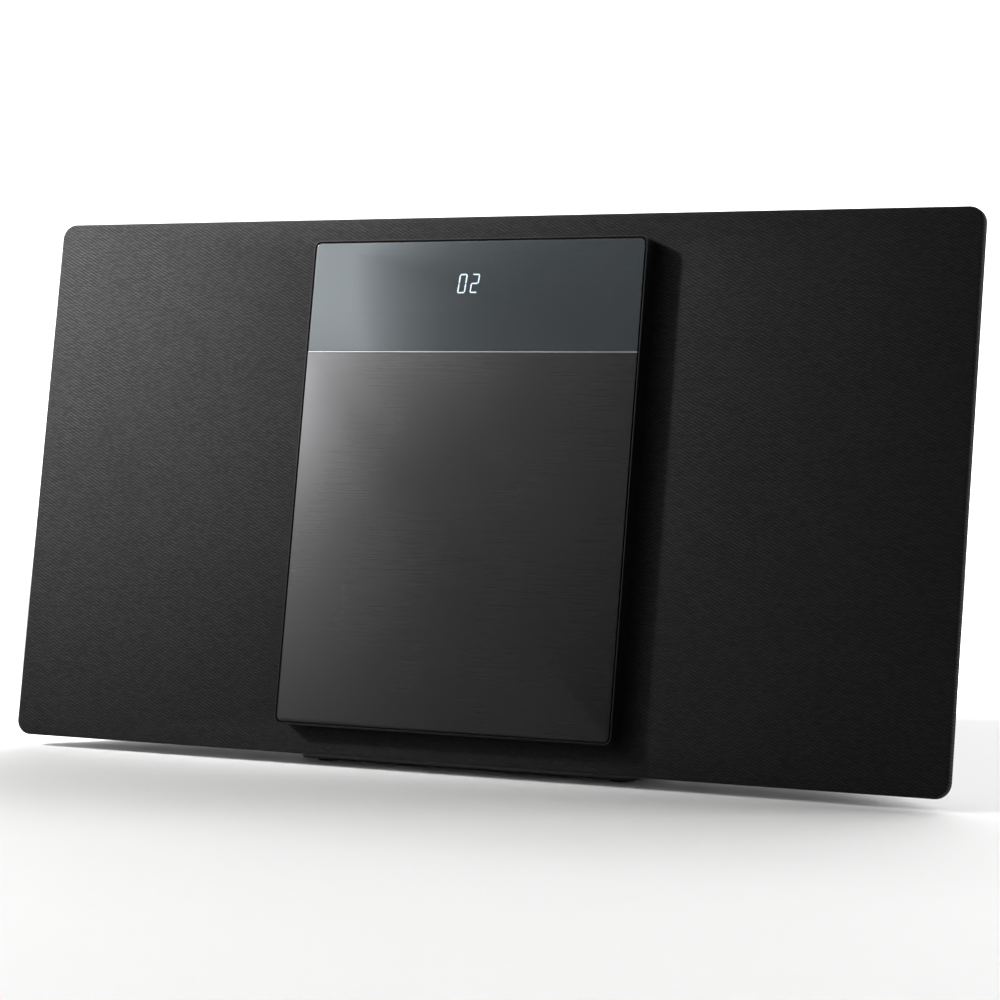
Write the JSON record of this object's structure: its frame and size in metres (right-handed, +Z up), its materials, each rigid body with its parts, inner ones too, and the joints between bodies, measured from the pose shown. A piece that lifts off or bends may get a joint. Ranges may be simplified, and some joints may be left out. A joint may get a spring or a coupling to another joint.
{
  "type": "mini hifi system",
  "caption": "Slim upright CD stereo with a full-width cloth front that leans back, a sliding centre door with a smoked window over brushed metal, and a thin black stand.",
  "frame": {"origin": "middle of the bounding box's bottom face, on the surface the feet stand on", "axes": "+X to the viewer's right, +Y to the back, +Z up; the face leans back 9.9 degrees about X"},
  "size_m": [0.4, 0.107, 0.2141],
  "materials": {
    "cloth": "woven matt",
    "black_plastic": "satin",
    "deck_plastic": "fine grain",
    "brushed_dark_metal": "brushed across, dark anodised",
    "smoked_window": "polished",
    "display_glass": "satin",
    "white_nylon": "moulded",
    "bright_steel": "ground",
    "pressed_steel": "rolled",
    "stand_paint": "satin black",
    "aluminium": "extruded",
    "circuit_board": "solder mask",
    "cone_paper": "pressed paper",
    "rubber": "matt",
    "ferrite": "sintered",
    "lens_glass": "coated"
  },
  "bodies": {
    "housing": {"grille_cloth": "cloth", "grille_frame": "black_plastic", "front_baffle": "black_plastic", "rear_cabinet": "black_plastic", "control_panel": "black_plastic", "button_board": "circuit_board", "main_board": "circuit_board", "heat_sink": "aluminium", "power_board": "circuit_board", "power_transformer": "pressed_steel", "power_inlet": "black_plastic", "antenna_socket": "bright_steel", "aux_socket": "black_plastic", "headphone_socket": "black_plastic", "stand_base": "stand_paint", "stand_neck": "black_plastic", "foot_front_left": "rubber", "foot_front_right": "rubber", "foot_rear_left": "rubber", "foot_rear_right": "rubber", "stand_screw_left": "bright_steel", "stand_screw_right": "bright_steel", "deck_bezel": "deck_plastic", "disc_well": "deck_plastic", "traverse_chassis": "pressed_steel", "sled_guide_rod": "bright_steel", "sled_motor": "bright_steel", "spindle_motor": "bright_steel", "door_rail_upper": "bright_steel", "door_rail_lower": "bright_steel", "door_motor": "bright_steel", "left_speaker_basket": "pressed_steel", "right_speaker_basket": "pressed_steel", "left_speaker_magnet": "ferrite", "right_speaker_magnet": "ferrite", "left_speaker_surround": "rubber", "right_speaker_surround": "rubber"},
    "door": {"door_frame": "black_plastic", "door_panel": "brushed_dark_metal", "door_window": "smoked_window", "display_module": "display_glass", "door_slider_upper": "white_nylon", "door_slider_lower": "white_nylon", "door_rack": "black_plastic"},
    "door_drive": {"door_drive_gear": "white_nylon"},
    "motor_gear": {"door_motor_gear": "white_nylon"},
    "hub": {"disc_hub": "deck_plastic"},
    "pickup": {"pickup_sled": "deck_plastic", "pickup_lens": "lens_glass"},
    "screw": {"lead_screw": "bright_steel"},
    "left_cone": {"left_speaker_cone": "cone_paper"},
    "right_cone": {"right_speaker_cone": "cone_paper"},
    "button_power": {"button_power": "black_plastic"},
    "button_source": {"button_source": "black_plastic"},
    "button_volume_down": {"button_volume_down": "black_plastic"},
    "button_volume_up": {"button_volume_up": "black_plastic"},
    "button_stop": {"button_stop": "black_plastic"},
    "button_play": {"button_play": "black_plastic"},
    "button_door": {"button_door": "black_plastic"}
  },
  "joints": [
    {"name": "door_slide", "type": "slide", "parent": "housing", "child": "door", "axis": [1, 0, 0], "range_m": [0, 0.1276]},
    {"name": "door_drive_turn", "type": "hinge", "parent": "housing", "child": "door_drive", "pos_m": [0.0638, -0.03349, 0.03869], "axis": [0, -0.9851, 0.1719], "range_deg": [-10, 1330]},
    {"name": "motor_gear_turn", "type": "hinge", "parent": "housing", "child": "motor_gear", "pos_m": [0.07518, -0.0276, 0.04922], "axis": [0, -0.9851, 0.1719], "range_deg": [-3990, 30]},
    {"name": "disc_spin", "type": "hinge", "parent": "housing", "child": "hub", "pos_m": [-0.0055, -0.02131, 0.10854], "axis": [0, -0.9851, 0.1719], "continuous": true},
    {"name": "pickup_slide", "type": "slide", "parent": "housing", "child": "pickup", "axis": [1, 0, 0], "range_m": [0, 0.033]},
    {"name": "lead_screw_turn", "type": "hinge", "parent": "housing", "child": "screw", "pos_m": [0.03, -0.0178, 0.09372], "axis": [1, 0, 0], "range_deg": [-10, 2390]},
    {"name": "left_cone_stroke", "type": "slide", "parent": "housing", "child": "left_cone", "axis": [0, -0.9851, 0.1719], "range_m": [-0.0015, 0.0015], "stiffness_N_per_m": 1500},
    {"name": "right_cone_stroke", "type": "slide", "parent": "housing", "child": "right_cone", "axis": [0, -0.9851, 0.1719], "range_m": [-0.0015, 0.0015], "stiffness_N_per_m": 1500},
    {"name": "button_power_press", "type": "slide", "parent": "housing", "child": "button_power", "axis": [0, -0.1719, -0.9851], "range_m": [0, 0.0008], "stiffness_N_per_m": 800},
    {"name": "button_source_press", "type": "slide", "parent": "housing", "child": "button_source", "axis": [0, -0.1719, -0.9851], "range_m": [0, 0.0008], "stiffness_N_per_m": 800},
    {"name": "button_volume_down_press", "type": "slide", "parent": "housing", "child": "button_volume_down", "axis": [0, -0.1719, -0.9851], "range_m": [0, 0.0008], "stiffness_N_per_m": 800},
    {"name": "button_volume_up_press", "type": "slide", "parent": "housing", "child": "button_volume_up", "axis": [0, -0.1719, -0.9851], "range_m": [0, 0.0008], "stiffness_N_per_m": 800},
    {"name": "button_stop_press", "type": "slide", "parent": "housing", "child": "button_stop", "axis": [0, -0.1719, -0.9851], "range_m": [0, 0.0008], "stiffness_N_per_m": 800},
    {"name": "button_play_press", "type": "slide", "parent": "housing", "child": "button_play", "axis": [0, -0.1719, -0.9851], "range_m": [0, 0.0008], "stiffness_N_per_m": 800},
    {"name": "button_door_press", "type": "slide", "parent": "housing", "child": "button_door", "axis": [0, -0.1719, -0.9851], "range_m": [0, 0.0008], "stiffness_N_per_m": 800}
  ],
  "couplings": [
    {"joint": "door_drive_turn", "follows": "door_slide", "rad_per_m": 178.57},
    {"joint": "motor_gear_turn", "follows": "door_slide", "rad_per_m": -535.71},
    {"joint": "lead_screw_turn", "follows": "pickup_slide", "rad_per_m": 1256.6}
  ]
}
